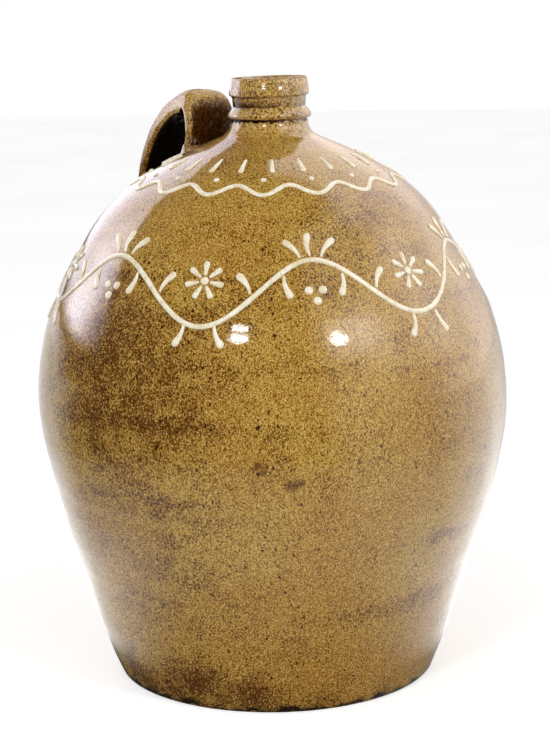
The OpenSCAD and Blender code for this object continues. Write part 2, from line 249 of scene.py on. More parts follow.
def mesh_of(name, bm):
    """A mesh from a finished shape."""
    mesh = bpy.data.meshes.new(name)
    bm.to_mesh(mesh)
    bm.free()
    return mesh


def stood(name, data):
    """A new object in the scene from a mesh, a lamp or a camera."""
    obj = bpy.data.objects.new(name, data)
    bpy.context.scene.collection.objects.link(obj)
    return obj


def piece(name, bm, nodes, material, sharp=40):
    """Keeps a finished shape as a piece of the jug that stands for CAD nodes."""
    mesh = mesh_of(name, bm)
    mesh.shade_smooth()
    mesh.set_sharp_from_angle(angle=radians(sharp))
    mesh.materials.append(material)
    obj = stood(name, mesh)
    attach(obj, "root")
    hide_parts(*nodes)


def spun(outline, steps, closed=True):
    """A solid turned about the jug's axis from its outline of radius and height."""
    bm = bmesh.new()
    points = [bm.verts.new((p[0], 0, p[1])) for p in outline]
    ends = points[1:] + points[:1] if closed else points[1:]
    sides = [bm.edges.new(pair) for pair in zip(points, ends)]
    bmesh.ops.spin(
        bm, geom=points + sides, cent=(0, 0, 0), axis=(0, 0, 1), angle=tau, steps=steps, use_merge=True
    )
    bmesh.ops.remove_doubles(bm, verts=bm.verts, dist=TURNED_WELD)
    bmesh.ops.recalc_face_normals(bm, faces=bm.faces)
    return bm


SEAT_OUT = Vector((SEAT_R, dome_at(SEAT_R)))
SEAT_WAY = OUTWARD[min(i for i, p in enumerate(OUTSIDE) if p.y > SEAT_OUT.y)]
SEAT_IN = SEAT_OUT - WALL * SEAT_WAY
SEAM_OUT = Vector((radius_at(OUTSIDE, SEAM_H), SEAM_H))
SEAM_IN = Vector((radius_at(INSIDE, SEAM_H), SEAM_H))
SEAM_MID = (SEAM_OUT + SEAM_IN) / 2 - Vector((0, SEAM_KEY))
ROUND_STEPS = 288
# How far a wall's free points stay from its seam and from its seat
SEAM_CLEAR = 0.5 * MM
SEAT_CLEAR = 0.3 * MM


def thin(run):
    """Every third point of a run, for the inside that nothing shows."""
    return run[::3]


def lower_section(material):
    """The lower thrown section, with its floor and bevelled foot."""
    corner_h = FLOOR_T + FLOOR_ROUND
    corner_top = (radius_at(INSIDE, corner_h), corner_h)
    floor_edge = radius_at(INSIDE, FLOOR_T)
    bevel_top = (radius_at(OUTSIDE, FOOT_BEVEL), FOOT_BEVEL)
    climb = [p for p in OUTSIDE if FOOT_BEVEL * 1.5 < p.y < SEAM_H - SEAM_CLEAR]
    drop = thin([p for p in reversed(INSIDE) if corner_h < p.y < SEAM_H - SEAM_CLEAR])
    bevel = bend((FOOT_R - FOOT_BEVEL, 0), (FOOT_R - FOOT_BEVEL / 3, 0), bevel_top, 5)
    corner = bend(corner_top, (floor_edge, FLOOR_T), (floor_edge - FLOOR_ROUND, FLOOR_T), 8)
    outline = [(0, 0), (FOOT_R / 2, 0), *bevel, *climb, SEAM_OUT, SEAM_MID, SEAM_IN, *drop, *corner]
    bm = spun(outline + [(floor_edge / 3, FLOOR_T), (0, FLOOR_T)], ROUND_STEPS, closed=False)
    for v in bm.verts:
        v.co = thrown(v.co)
    piece("lower_section", bm, ["lower_body"], material)


def upper_section(material):
    """The upper thrown section, up to the seat of the neck."""
    climb = [p for p in OUTSIDE if SEAM_H + SEAM_CLEAR < p.y < SEAT_OUT.y - SEAT_CLEAR]
    drop = thin([p for p in reversed(INSIDE) if SEAM_H + SEAM_CLEAR < p.y < SEAT_IN.y - SEAT_CLEAR])
    bm = spun([SEAM_OUT, *climb, SEAT_OUT, SEAT_IN, *drop, SEAM_IN, SEAM_MID], ROUND_STEPS)
    for v in bm.verts:
        v.co = thrown(v.co)
    piece("upper_section", bm, ["upper_body"], material)


# Corners under the ridge and the collar, in mm out from the waist or the groove and up from the edge
NOTCH_STEPS = [(0, -2.2), (-0.3, -1), (-0.7, -0.35), (-0.7, 0.1)]
LEDGE_STEPS = [(0.4, -1.5), (0.7, -0.2), (1.6, 0)]
# Where the collar's face is drawn between its lower edge and its lip
FACE_SHARES = (0.15, 0.3, 0.45, 0.6, 0.75, 0.9)
# From the groove's bottom to the crease in it, in and down
CREASE_STEP = Vector((0.3 * MM, 0.5 * MM))
# How deep the lip is rubbed down
LIP_WEAR = 0.15 * MM


def neck_shade(p, notch_h, crease_h, ledge_h):
    """How much painted shade and how dull the neck is at a point: painted shade in its hollows, most on the
    camera's left.
    """
    left = 0.5 - 0.5 * VIEW_RIGHT.dot(p) / RIDGE_R
    jag = noise.noise(p * 420)
    # Painted shade under the ridge, in the crease and under the ledge, deepest on the camera's left
    under_ridge = 0.5 + 0.75 * left + 0.35 * jag - abs(p.z - notch_h + (0.6 + jag) * MM) / (1.8 * MM)
    in_crease = 0.2 + 0.55 * left - abs(p.z - crease_h - CREASE_STEP.y) / (3 * MM)
    under_ledge = 0.25 + 0.35 * left - abs(p.z - ledge_h + 0.6 * MM) / (2.4 * MM)
    deep = hypot(p.x, p.y) < RIDGE_R - 0.6 * MM
    painted_shade = max(0, under_ridge, in_crease, under_ledge) if deep else 0
    return painted_shade, min(0.9, max(0, under_ridge * 1.2))


def ringed_neck(material):
    """The neck, from its seat on the shoulder up to the rounded lip and back down the bore."""
    root_way = OUTSIDE[-1] - OUTSIDE[-2]
    root_slope = atan2(root_way.y, -root_way.x)
    flare = (ROOT_R - WAIST_R) / (1 - sin(root_slope))
    flare_mid = (WAIST_R + flare, SHOULDER_H + flare * cos(root_slope))
    nose_mid = Vector((RIDGE_R - RIDGE_NOSE, JUG_H - RIDGE_DROP))
    groove = Vector((GROOVE_R, JUG_H - GROOVE_DROP))
    ledge_h = JUG_H - COLLAR_H
    edge = COLLAR_H / 10
    sill = [p for p in OUTSIDE if p.y > SEAT_OUT.y + SEAT_CLEAR and p.x > ROOT_R + SEAT_CLEAR]
    skirt = arc(flare_mid, flare, 270 - degrees(root_slope), 180, 16)
    notch_h = nose_mid.y - RIDGE_NOSE
    notch = [(WAIST_R + out * MM, notch_h + up * MM) for out, up in NOTCH_STEPS]
    nose = arc(nose_mid, RIDGE_NOSE, -62, 40, 12)
    crease = groove - CREASE_STEP
    hollow = bend(nose[-1], (crease.x + 1.5 * MM, crease.y - 1.2 * MM), crease, 8)
    ledge = bend(*[(groove.x + out * MM, ledge_h + up * MM) for out, up in LEDGE_STEPS], 4)
    shelf = bend((COLLAR_R - edge, ledge_h), (COLLAR_R, ledge_h), (COLLAR_R, ledge_h + edge), 6)
    taper = LIP_R - COLLAR_R
    face = [(COLLAR_R + taper * t * t, ledge_h + COLLAR_H * (0.12 + 0.7 * t)) for t in FACE_SHARES]
    lip_out = arc((LIP_R - LIP_ROUND, JUG_H - LIP_ROUND), LIP_ROUND, 16, 90, 8)
    lip_in = arc((BORE_R + LIP_ROUND, JUG_H - LIP_ROUND), LIP_ROUND, 90, 180, 6)
    throat = bend((BORE_R, JUG_H - BORE_DEPTH), (BORE_R, SEAT_IN.y), SEAT_IN, 6)
    rise = [SEAT_OUT, *sill, *skirt, *notch, *nose, *hollow, groove, *ledge, *shelf, *face]
    bm = spun([*rise, *lip_out, *lip_in, *throat], ROUND_STEPS)
    painted_shade = bm.verts.layers.float.new("painted_shade")
    dull = bm.verts.layers.float.new("dull")
    for v in bm.verts:
        v[painted_shade], v[dull] = neck_shade(v.co, notch_h, crease.y, ledge_h)
        v.co = thrown(v.co)
        if v.co.z > ledge_h:
            v.co.z -= LIP_WEAR * abs(noise.noise(v.co * 160))
    piece("ringed_neck", bm, ["neck"], material)


# The strap's middle line in its own plane, as shares of the way between its feet and of its climb
INNER_LEG_SHARES = [(0, 0), (-0.11, 0.42), (-0.09, 0.9), (0.06, 1.065)]
OUTER_LEG_SHARES = [(0.42, 0.95), (0.735, 0.7), (0.915, 0.39), (1, 0)]
CROWN_H = SHOULDER_H + ARCH_RISE - STRAP_T / 2
FOOT_SPAN = OUTER_FOOT_X - INNER_FOOT_X
INNER_FOOT_H = dome_at(INNER_FOOT_X)
OUTER_FOOT_H = dome_at(OUTER_FOOT_X)


def leg(shares, foot_h):
    """Controls of one leg of the strap from their shares, with the height of its foot."""
    return [(INNER_FOOT_X + a * FOOT_SPAN, foot_h + b * (CROWN_H - foot_h)) for a, b in shares]


STRAP_LINE = smooth_run(leg(INNER_LEG_SHARES, INNER_FOOT_H) + leg(OUTER_LEG_SHARES, OUTER_FOOT_H), 12)
STRAP_LAST = len(STRAP_LINE) - 1
STRAP_SIDES = 64
STRAP_SQUARE = 5
STRAP_DOMED = 2.1
# How deep the strap's feet and the pressed clay go into the shoulder
FOOT_SINK = 2 * MM
WAD_SINK = 1.5 * MM
# The pressed clay's thin brim, its reach under the strap, and its share of the strap's first free step
WAD_THIN = 0.1 * MM
WAD_UNDER = 1 * MM
WAD_CLIMB = 0.8
FILLET_STEPS = 6
# The strap's skin: its lumps and its grit by grains to the metre and height in mm, and how far in it lies
LUMPS, LUMP_H = 70, 0.6
GRIT, GRIT_H = 260, 0.15
SKIN_IN = 0.4
SETTLING_STEPS = 24


def strap_width(share):
    """The strap's width at a share of its length."""
    inner = STRAP_INNER_W * (1 - share) * (1 - 2 * share)
    return inner + 4 * share * (1 - share) * STRAP_ARCH_W + STRAP_OUTER_W * share * (2 * share - 1)


def section(a):
    """A point of the strap's section at an angle: domed on the outer side and flat on the inner one."""
    square = 2 / (STRAP_SQUARE if a < pi else STRAP_DOMED)
    return [(1 if value > 0 else -1) * abs(value) ** square for value in (cos(a), sin(a))]


def underside(share):
    """How much thicker the strap's inner side is at a share of its length: most at the outer bend."""
    return 1 + between(share, [0.12, 0.34, 0.46, 0.62, 0.9], [0, 1.3, 1.8, 1.05, 0])


def strap_ring(i, grow=0.0):
    """The strap's section at one point of its line, larger all round by a length."""
    way = slope_at(STRAP_LINE, i)
    middle = STRAP_LINE[i]
    share = i / STRAP_LAST
    width = strap_width(share) / 2 + grow
    thick = (STRAP_T / 2) * underside(share)
    taper = between(share, [0.2, 0.42, 0.55, 0.7, 1], [0.06, 0.28, 0.22, 0.09, 0.05])
    ring = []
    for k in range(STRAP_SIDES):
        across, through = section(tau * k / STRAP_SIDES)
        through *= (thick if through > 0 else STRAP_T / 2) + grow
        across *= 1 - taper * (thick - through) / (thick + STRAP_T / 2)
        ring.append(Vector((-(middle.x + through * way.y), across * width, middle.y - through * way.x)))
    return ring


def settled(ring, way, depth=0.0):
    """A ring with each point slid along a direction until it lies on the shoulder, or a depth under it."""
    lying = []
    for p in ring:
        low, high = -5 * STRAP_T, 5 * STRAP_T
        for _ in range(SETTLING_STEPS):
            mid = (low + high) / 2
            spot = p + way * mid
            if spot.z + depth > dome_at(hypot(spot.x, spot.y)):
                low = mid
            else:
                high = mid
        lying.append(p + way * low)
    return lying


def dig(at):
    """The direction in which a foot of the strap, by its place on the line, runs into the shoulder."""
    beside = 1 if at == 0 else STRAP_LAST - 1
    way = STRAP_LINE[at] - STRAP_LINE[beside]
    return Vector((-way.x, 0, way.y)).normalized()


def is_free(ring):
    """Whether a ring of the strap stands well clear of the shoulder."""
    return min(p.z - dome_at(hypot(p.x, p.y)) for p in ring) > STRAP_T / 3


def swept(bm, rings, closed=False):
    """Adds a skin over a stack of equal rings: a flat grid rolled up, a column to each ring's point."""
    around = len(rings[0])
    along = len(rings) if closed else len(rings) - 1
    sheet = bmesh.ops.create_grid(bm, x_segments=around, y_segments=along, size=0.5)["verts"]
    for v in sheet:
        i = round((v.co.y + 0.5) * along) % len(rings)
        k = round((v.co.x + 0.5) * around) % around
        v.co = rings[i][k]
    bmesh.ops.remove_doubles(bm, verts=sheet, dist=SWEPT_WELD)
    if not closed:
        rims = {e for v in sheet if v.is_valid for e in v.link_edges if e.is_boundary}
        bmesh.ops.holes_fill(bm, edges=list(rims))


def strap_shade(p):
    """How much painted shade and how dull the strap is at a point: painted shade, black under the arch and
    brown towards the neck.
    """
    flat = Vector((-p.x, p.z))
    i = min(range(STRAP_LAST + 1), key=lambda n: (STRAP_LINE[n] - flat).length)
    way = slope_at(STRAP_LINE, i)
    # From -1 on the outer side to 1 on the inner one
    through = (flat - STRAP_LINE[i]).dot(Vector((way.y, -way.x))) / (STRAP_T / 2)
    share = i / STRAP_LAST
    if through > 0:
        through /= underside(share)
    across = abs(p.y) / strap_width(share) * 2
    inside = between(across, [0.84, 0.98], [1, 0])
    neckward = between(share, [0, 0.06, 0.24, 0.36], [0.5, 0.66, 0.62, 0.1]) * inside
    dull = between(share, [0.24, 0.4, 0.6], [1, 0.55, 0.2]) * inside
    brown = between(share, [0.5, 0.8], [0, 0.35])
    # Painted shade: brown on the face towards the neck, black on the inner side under the arch; some brown
    # on the outer leg's sides
    painted_shade = between(through, [-1, -0.5, -0.1, 0.86, 0.99], [neckward, neckward * 0.9, brown, brown, 1.7])
    side = between(share, [0.5, 0.8], [0.05, 0.75])
    return painted_shade, between(through, [-1, -0.5, 0, 0.86, 0.99], [dull, dull * 0.9, side, side, 1])


def pulled_strap(material):
    """The pulled strap handle, its feet sunk a little into the shoulder."""
    free = [ring for ring in (strap_ring(i) for i in range(STRAP_LAST + 1)) if is_free(ring)]
    inner = settled(strap_ring(0), dig(0), FOOT_SINK)
    outer = settled(strap_ring(STRAP_LAST), dig(STRAP_LAST), FOOT_SINK)
    bm = bmesh.new()
    swept(bm, [inner, *free, outer])
    bmesh.ops.recalc_face_normals(bm, faces=bm.faces)
    bm.normal_update()
    painted_shade = bm.verts.layers.float.new("painted_shade")
    dull = bm.verts.layers.float.new("dull")
    for v in bm.verts:
        v[painted_shade], v[dull] = strap_shade(v.co)
        rough = noise.noise(v.co * LUMPS) * LUMP_H + noise.noise(v.co * GRIT) * GRIT_H - SKIN_IN
        v.co = stray(v.co + v.normal * rough * MM)
    piece("pulled_strap", bm, ["handle"], material)


def pressed_clay(name, node, at, material):
    """Clay pressed round one foot of the strap: a hollow fillet that thins out on the shoulder."""
    foot = settled(strap_ring(at), dig(at))
    brim = settled(strap_ring(at, WAD_REACH), dig(at), WAD_THIN)
    free = [strap_ring(i, WAD_THIN) for i in range(STRAP_LAST + 1)]
    free = [ring for ring in free if is_free(ring)]
    above = free[0] if at == 0 else free[-1]
    top = [low.lerp(high, WAD_CLIMB) for low, high in zip(foot, above)]
    fillet = []
    for k in range(FILLET_STEPS + 1):
        fillet.append([bend_point(*points, k / FILLET_STEPS) for points in zip(brim, foot, top)])
    under = settled(strap_ring(at, -WAD_UNDER), dig(at), WAD_SINK)
    bm = bmesh.new()
    swept(bm, [under, *fillet], closed=True)
    bmesh.ops.recalc_face_normals(bm, faces=bm.faces)
    for v in bm.verts:
        v.co = stray(v.co)
    piece(name, bm, [node], material)


# The shoulder unrolled: slant distances down from the neck's root, with the radius and height there
TOP_DOWN = list(reversed(OUTSIDE))
SLANTS = [0.0]
for upper, lower in zip(TOP_DOWN, TOP_DOWN[1:]):
    SLANTS.append(SLANTS[-1] + (lower - upper).length)
SLANT_RADII = [p.x for p in TOP_DOWN]
SLANT_HEIGHTS = [p.y for p in TOP_DOWN]
DOME_RADII = [p.x for p in TOP_DOWN if p.y > BELLY_H]
RIPPLE_DOWN = between(INNER_FOOT_X, DOME_RADII, SLANTS) + RIPPLE_BELOW
VINE_DOWN = between(OUTER_FOOT_X, DOME_RADII, SLANTS) + VINE_BELOW


def on_wall(bearing, slant):
    """A place on the thrown wall and its outward direction, by bearing and slant distance from the neck."""
    r, z = between(slant, SLANTS, SLANT_RADII), between(slant, SLANTS, SLANT_HEIGHTS)
    reach = 2 * MM
    fall = between(slant - reach, SLANTS, SLANT_HEIGHTS) - between(slant + reach, SLANTS, SLANT_HEIGHTS)
    spread = between(slant + reach, SLANTS, SLANT_RADII) - between(slant - reach, SLANTS, SLANT_RADII)
    way = towards(bearing)
    out = (way * fall + Vector((0, 0, spread))).normalized()
    place = way * r + Vector((0, 0, z))
    return thrown(place), out


TRAIL_SIDES = 14
TRAIL_SINK = 0.5 * MM
TRAIL_LIFT_SHARE = 0.42
# How finely a stroke is drawn, and how thin its ends are
STROKE_STEP = 1.1 * MM
LEAST_STEPS = 8
LEAST_WIDTH_SHARE = 0.06
# How far an unsteady hand strays: in a stroke's width, and in a wave's swing, place and width
STROKE_WAVER = 0.16
SWING_WAVER = 0.12
PLACE_WAVER = 0.5 * MM
WIDTH_WAVER = 0.14


def trail(bm, places, widths, closed=False):
    """Adds one squeezed trail of slip along places on the wall, each a bearing and a slant distance."""
    spots = [on_wall(*place) for place in places]
    count = len(spots)
    rings = []
    for i, ((spot, out), width) in enumerate(zip(spots, widths)):
        ahead = spots[(i + 1) % count if closed else min(i + 1, count - 1)][0]
        behind = spots[(i - 1) % count if closed else max(i - 1, 0)][0]
        side = (ahead - behind).cross(out).normalized()
        height = min(TRAIL_H, width * TRAIL_LIFT_SHARE)
        ring = []
        for k in range(TRAIL_SIDES):
            a = tau * k / TRAIL_SIDES
            lift = height * sin(a) if sin(a) > 0 else TRAIL_SINK * sin(a)
            ring.append(spot + side * (cos(a) * width / 2) + out * lift)
        rings.append(ring)
    swept(bm, rings, closed)


def slip_width(width, seed, share):
    """A trail's width at a share of its length, as an unsteady hand leaves it."""
    return width * (1 + STROKE_WAVER * noise.noise(Vector((seed * 7.3, share * 4, seed))))


def stroke(bm, bearing, slant, line, tail, head, seed):
    """Adds one stroke about a place on the unrolled wall, swelling from its tail to a round head."""
    a, b, c = (Vector(p) for p in line)
    length = (b - a).length + (c - b).length
    steps = max(LEAST_STEPS, round(length / STROKE_STEP))
    shares = [(1 - cos(pi * k / steps)) / 2 for k in range(steps + 1)]
    places, widths = [], []
    for t in shares:
        p = bend_point(a, b, c, t)
        r = between(slant - p.y, SLANTS, SLANT_RADII)
        places.append((bearing + degrees(p.x / r), slant - p.y))
        width = slip_width(tail + (head - tail) * t ** 1.3, seed, t)
        from_end = min(t * length / (tail / 2), (1 - t) * length / (head / 2), 1)
        widths.append(width * max(LEAST_WIDTH_SHARE, sqrt(1 - (1 - from_end) ** 2)))
    trail(bm, places, widths)


def dot(bm, bearing, slant, across):
    """Adds one drop of slip, a low dome sunk a little into the glaze."""
    spot, out = on_wall(bearing, slant)
    lean = out.to_track_quat("Z", "X").to_matrix().to_4x4()
    flat = Matrix.Diagonal((across / 2, across / 2, TRAIL_H, 1))
    bmesh.ops.create_uvsphere(
        bm, u_segments=18, v_segments=10, radius=1, matrix=Matrix.Translation(spot) @ lean @ flat
    )


def wave(bm, slant, swing, count, width, steps, seed):
    """Adds one closed wave of slip round the jug."""
    total = count * steps
    turns = [k / total for k in range(total)]
    wander = [noise.noise(Vector((3 * cos(tau * t), 3 * sin(tau * t), seed))) for t in turns]
    places = []
    for t, w in zip(turns, wander):
        down = slant + swing * cos(tau * count * t) * (1 + SWING_WAVER * w) + PLACE_WAVER * w
        places.append((HANDLE_BEARING + 360 * t, down))
    widths = [width * (1 + WIDTH_WAVER * noise.noise(Vector((t * 70, seed, 0)))) for t in turns]
    trail(bm, places, widths, closed=True)


def slip_piece(name, node, bm, material):
    """Keeps trailed slip as a piece."""
    bmesh.ops.recalc_face_normals(bm, faces=bm.faces)
    piece(name, bm, [node], material, sharp=80)


def trailed_rays(material):
    """Short strokes that stand round the neck, apart from the handle's inner foot."""
    foot_angle = degrees(atan2(STRAP_INNER_W / 2 + WAD_REACH + TRAIL_W, INNER_FOOT_X - STRAP_T))
    down = RIPPLE_DOWN - RIPPLE_SWING - 2.4 * DOT_D
    bm = bmesh.new()
    for k in range(RAYS):
        turn = 360 * (k + 0.5) / RAYS
        if min(turn, 360 - turn) > foot_angle:
            line = [(0, RAY_L), (0, RAY_L / 2), (0, 0)]
            stroke(bm, HANDLE_BEARING + turn, down, line, TRAIL_W * 0.5, TRAIL_W * 1.2, k)
    slip_piece("trailed_rays", "neck_rays", bm, material)


def trailed_ripple(material):
    """The plain wave round the shoulder and, as a piece of its own, the dots in its hollows."""
    bm = bmesh.new()
    wave(bm, RIPPLE_DOWN, RIPPLE_SWING, RIPPLES, TRAIL_W, 24, 5)
    slip_piece("trailed_ripple", "shoulder_wave", bm, material)
    bm = bmesh.new()
    for k in range(RIPPLES):
        dot(bm, HANDLE_BEARING + 360 * k / RIPPLES, RIPPLE_DOWN - RIPPLE_SWING - DOT_D, DOT_D * 0.7)
    slip_piece("ripple_dots", "wave_dots", bm, material)


def vine_bearing(share):
    """The bearing at a share of the vine's waves."""
    return HANDLE_BEARING + 360 * share / VINE_WAVES


# Leaves along each wave, as share of the wave and angle to the level
LEAF_SHARES = [
    (0.06, -68), (0.22, 122), (0.36, -76), (0.46, 130), (0.5, 90), (0.54, 50), (0.64, -104), (0.78, 58),
    (0.94, -112),
]


def trailed_vine(material):
    """The running vine: its stem, leaves, daisies and berries, each kind a piece of its own."""
    bm = bmesh.new()
    wave(bm, VINE_DOWN, VINE_SWING, VINE_WAVES, TRAIL_W, 60, 9)
    slip_piece("trailed_stem", "vine_stem", bm, material)

    bm = bmesh.new()
    for k in range(VINE_WAVES):
        for n, (share, angle) in enumerate(LEAF_SHARES):
            a = radians(angle)
            way, side = Vector((cos(a), sin(a))), Vector((sin(a), -cos(a)))
            bow = side * LEAF_L / 6 * (1 if share < 0.5 else -1)
            root = Vector((0, -VINE_SWING * cos(tau * share)))
            gap = way * TRAIL_W * 0.75
            line = [root + gap, root + way * LEAF_L / 2 + bow, root + way * LEAF_L]
            stroke(bm, vine_bearing(k + share), VINE_DOWN, line, TRAIL_W * 0.5, LEAF_W, k * 9 + n)
    slip_piece("trailed_leaves", "vine_leaves", bm, material)

    bm = bmesh.new()
    lift = VINE_SWING * 0.35
    heart = DOT_D * 0.62
    for k in range(1, VINE_WAVES):
        dot(bm, vine_bearing(k), VINE_DOWN - lift, DOT_D)
        for j in range(PETALS):
            a = radians(90 + 360 * j / PETALS)
            way, middle = Vector((cos(a), sin(a))), Vector((0, lift))
            line = [middle + way * (heart + PETAL_L * t) for t in (0, 0.5, 1)]
            stroke(bm, vine_bearing(k), VINE_DOWN, line, TRAIL_W * 0.6, TRAIL_W * 1.5, k * 7 + j)
    slip_piece("trailed_daisies", "vine_daisies", bm, material)

    bm = bmesh.new()
    spread = DOT_D * 0.8
    for k in range(VINE_WAVES):
        for x, y in ((-spread, 0), (spread, 0), (0, -spread * 1.6)):
            across = degrees(x / between(VINE_DOWN, SLANTS, SLANT_RADII))
            dot(bm, vine_bearing(k + 0.5) + across, VINE_DOWN - y, DOT_D)
    slip_piece("trailed_berries", "vine_berries", bm, material)


def paint(code):
    """A colour for a shader from its code as seen on a screen."""
    parts = [int(code[i:i + 2], 16) / 255 for i in (1, 3, 5)]
    return (*(c / 12.92 if c <= 0.04045 else ((c + 0.055) / 1.055) ** 2.4 for c in parts), 1)


class Shader:
    """A tree of shader nodes in the making, with short ways to add to it."""

    def __init__(self, tree):
        self.nodes = tree.nodes
        self.links = tree.links

    def node(self, kind, inputs=(), **settings):
        """A node with its settings and its inputs, each a number, a colour or another node's output."""
        made = self.nodes.new(kind)
        for name, value in settings.items():
            setattr(made, name, value)
        for socket, value in dict(inputs).items():
            if isinstance(value, bpy.types.NodeSocket):
                self.links.new(value, made.inputs[socket])
            else:
                made.inputs[socket].default_value = value
        return made

    def spread(self, value, low, high, to_low=0.0, to_high=1.0):
        """A smooth step from low to high."""
        made = self.node("ShaderNodeMapRange", {
            "Value": value, "From Min": low, "From Max": high, "To Min": to_low, "To Max": to_high,
        }, interpolation_type="SMOOTHSTEP")
        return made.outputs["Result"]

    def sum(self, operation, a, b=0.0):
        """A sum of two values."""
        return self.node("ShaderNodeMath", {0: a, 1: b}, operation=operation).outputs[0]

    def plus(self, a, b):
        """Two values added."""
        return self.sum("ADD", a, b)

    def times(self, a, b):
        """Two values multiplied."""
        return self.sum("MULTIPLY", a, b)

    def away_from(self, value, middle):
        """How far a value is from a middle one."""
        return self.sum("ABSOLUTE", self.sum("SUBTRACT", value, middle))

    def fused(self, value, factor, addend):
        """A value times a factor, plus another one."""
        made = self.node("ShaderNodeMath", {0: value, 1: factor, 2: addend}, operation="MULTIPLY_ADD")
        return made.outputs[0]

    def blend(self, share, a, b):
        """A mix of two colours."""
        made = self.node("ShaderNodeMix", data_type="RGBA")
        for socket, value in (("Factor", share), ("A", a), ("B", b)):
            match = [i for i in made.inputs if i.name == socket and i.enabled][0]
            if isinstance(value, bpy.types.NodeSocket):
                self.links.new(value, match)
            else:
                match.default_value = value
        return [o for o in made.outputs if o.enabled][0]

    def blend_value(self, share, a, b):
        """A mix of two values."""
        return self.node("ShaderNodeMix", {"Factor": share, "A": a, "B": b}).outputs[0]

    def along(self, way, direction):
        """How far a way goes in a direction."""
        made = self.node("ShaderNodeVectorMath", {0: way, 1: direction}, operation="DOT_PRODUCT")
        return made.outputs["Value"]

    def bearing(self, way):
        """The bearing of a way from the camera's side, in degrees."""
        ahead, right = self.along(way, towards(CAMERA_BEARING)), self.along(way, VIEW_RIGHT)
        return self.times(self.sum("ARCTAN2", right, ahead), 180 / pi)

    def elevation(self, way):
        """The elevation of a way that is one long, in degrees."""
        return self.times(self.sum("ARCSINE", self.along(way, Vector((0, 0, 1)))), 180 / pi)


class Finish(Shader):
    """A material in the making: a principled surface, and patterns by the place on the jug."""

    def __init__(self, name, **surface):
        self.material = bpy.data.materials.new(name)
        self.material.use_nodes = True
        super().__init__(self.material.node_tree)
        self.surface = self.nodes["Principled BSDF"]
        for socket, value in surface.items():
            self.surface.inputs[socket].default_value = value
        self.place = self.node("ShaderNodeTexCoord").outputs["Object"]

    def stretched(self, scale, shift=(0, 0, 0)):
        """Object coordinates, scaled and moved."""
        inputs = {"Vector": self.place, "Scale": scale, "Location": shift}
        return self.node("ShaderNodeMapping", inputs).outputs[0]

    def grain(self, scale, detail=2.0, roughness=0.5, place=None):
        """Noise of a scale, in grains to the metre."""
        made = self.node("ShaderNodeTexNoise", {
            "Vector": place or self.place, "Scale": scale, "Detail": detail, "Roughness": roughness,
        })
        return made.outputs["Fac"]

    def speckles(self, scale, size, share):
        """Upright specks of a scale, by their least size in cells and the share of cells with one."""
        wavy = self.node("ShaderNodeTexNoise", {"Vector": self.place, "Scale": scale * 2.5, "Detail": 1})
        tall = self.stretched((1, 1, 0.7))
        inputs = {0: wavy.outputs["Color"], 1: (0.7 / scale,) * 3, 2: tall}
        place = self.node("ShaderNodeVectorMath", inputs, operation="MULTIPLY_ADD").outputs[0]
        made = self.node("ShaderNodeTexVoronoi", {"Vector": place, "Scale": scale})
        pick = self.node("ShaderNodeSeparateColor", {"Color": made.outputs["Color"]}).outputs
        chosen = self.sum("LESS_THAN", pick["Red"], share)
        reach = self.fused(pick["Green"], size, size)
        inside = self.spread(self.sum("SUBTRACT", reach, made.outputs["Distance"]), 0, 0.06)
        return self.times(chosen, inside)

    def attribute(self, name):
        """A value that the piece's points carry."""
        return self.node("ShaderNodeAttribute", attribute_name=name).outputs["Fac"]

    def height(self):
        """The height above the foot."""
        return self.node("ShaderNodeSeparateXYZ", {"Vector": self.place}).outputs["Z"]

    def near(self, spot, reach):
        """One near a place on the jug, falling smoothly to nothing at a distance."""
        away = self.node("ShaderNodeVectorMath", {0: self.place, 1: spot}, operation="DISTANCE")
        return self.spread(away.outputs["Value"], 0, reach, 1, 0)

    def relief(self, value, depth, strength=1.0, under=None):
        """A bump of a depth in metres, over another one if given."""
        inputs = {"Height": value, "Distance": depth, "Strength": strength}
        if under:
            inputs["Normal"] = under
        return self.node("ShaderNodeBump", inputs).outputs["Normal"]

    def finish(self, **sockets):
        """Joins outputs to the surface and gives the material."""
        for socket, output in sockets.items():
            self.links.new(output, self.surface.inputs[socket.replace("_", " ")])
        return self.material


MUSTARD = paint("#bb9639")
HONEY = paint("#ad7c28")
STRAW = paint("#dfbd6e")
RUST = paint("#7e4b04")
IRON = paint("#502700")
SOOT = paint("#3a1600")
# Near black, for the painted shade under the strap's arch and below the neck's ridge, and for the foot's
# lowest band
COAL = paint("#0c0501")
CLAY = paint("#a8865c")
PALE_CLAY = paint("#c9b3a2")
TORN_CLAY = Vector((-INNER_FOOT_X + 1.5 * MM, -STRAP_INNER_W / 2, INNER_FOOT_H + 2 * MM))
CREAM = paint("#fff7de")
CREAM_THIN = paint("#e4ce9e")
WHITE = (1, 1, 1, 1)
LAVENDER = paint("#f2eeff")
ROSE = paint("#fff3f0")


def wall_spot(bearing, height):
    """A place on the outside of the wall, by its bearing from the camera's side and its height in mm."""
    level = height * MM
    return towards(CAMERA_BEARING + bearing) * radius_at(OUTSIDE, level) + Vector((0, 0, level))


# Where the glaze took more iron or less: bearing from the camera's side, height and reach in mm, amount
IRON_PATCHES = [
    (-40, 200, 88, 0.4), (-48, 172, 46, 0.2), (-44, 245, 60, 0.25), (-12, 240, 60, 0.1),
    (2, 176, 60, -0.2), (-20, 215, 70, 0.2), (-28, 125, 50, 0.1), (35, 150, 90, -0.2),
    (20, 80, 80, -0.12), (-52, 10, 34, 0.7), (-30, 16, 34, 0.7), (-8, 8, 26, 0.6),
    (14, 3, 22, 0.4), (38, 2, 20, 0.4), (50, 20, 55, -0.25), (-40, 100, 80, 0.18),
    (150, 190, 90, 0.3), (-130, 120, 80, 0.2), (105, 230, 60, 0.15),
]
# Brown streaks that follow the throwing, as middle bearing, height in mm and amount
STREAKS = [(48, 107, 0.32), (34, 68, 0.36), (58, 36, 0.26)]
# How far the streaks waver up and down, and half their breadth, in mm
STREAK_WAVER = 12
STREAK_REACH = 11
